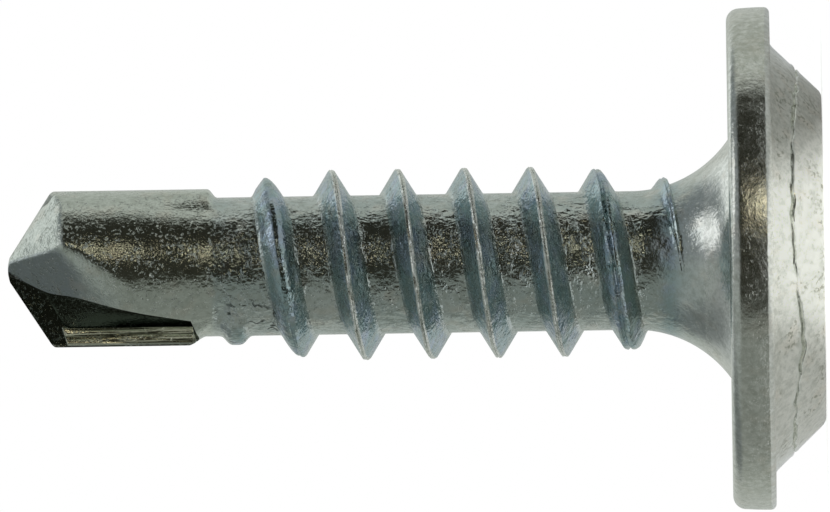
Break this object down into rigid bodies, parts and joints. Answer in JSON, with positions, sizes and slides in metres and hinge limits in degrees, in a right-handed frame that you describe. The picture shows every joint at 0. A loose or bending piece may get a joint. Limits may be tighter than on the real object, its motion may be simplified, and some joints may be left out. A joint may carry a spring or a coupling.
{
  "type": "self drilling screw",
  "caption": "Wafer-head self-drilling screw with a cross recess, a coarse rolled thread and a two-flute drill point.",
  "frame": {"origin": "centre of the flat bearing face under the head", "axes": "+Z along the shank from the bearing face to the drill point; +X through the thread's crest that passes just below the bearing face's plane, near the edge of one flute"},
  "size_m": [0.0106, 0.0106, 0.0174],
  "materials": {
    "zinc_plated_steel": "blue-white zinc plating on case-hardened carbon steel, mottled, with rolled-in laps on the crests"
  },
  "bodies": {
    "root": {"screw": "zinc_plated_steel"}
  },
  "joints": []
}
